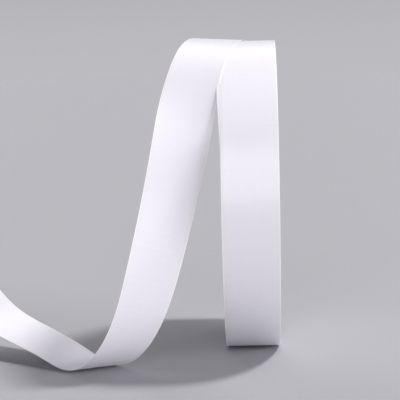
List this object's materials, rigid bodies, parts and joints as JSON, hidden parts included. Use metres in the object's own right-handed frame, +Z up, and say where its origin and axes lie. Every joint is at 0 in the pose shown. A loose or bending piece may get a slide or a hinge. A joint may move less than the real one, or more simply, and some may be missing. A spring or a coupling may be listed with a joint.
{
  "type": "roll of care label tape",
  "caption": "Roll of plain white satin care label tape standing on its rim, its loose end falling from the top and turning back along the floor.",
  "frame": {"origin": "middle of the small flat spot on the rim that the roll stands on, at floor level", "axes": "+Z up; the roll's axis along X; -Y towards the front, where the loose end falls; the loose end lies off to -X"},
  "size_m": [0.2327, 0.2173, 0.208],
  "materials": {
    "wound_tape": "white polyester satin label tape, wound tight, soft sheen with fine lines of the turns",
    "tape_face": "white polyester satin label tape, smooth close weave, soft sheen, slit edges"
  },
  "bodies": {
    "root": {"wound_roll": "wound_tape", "loose_end": "tape_face"}
  },
  "joints": []
}
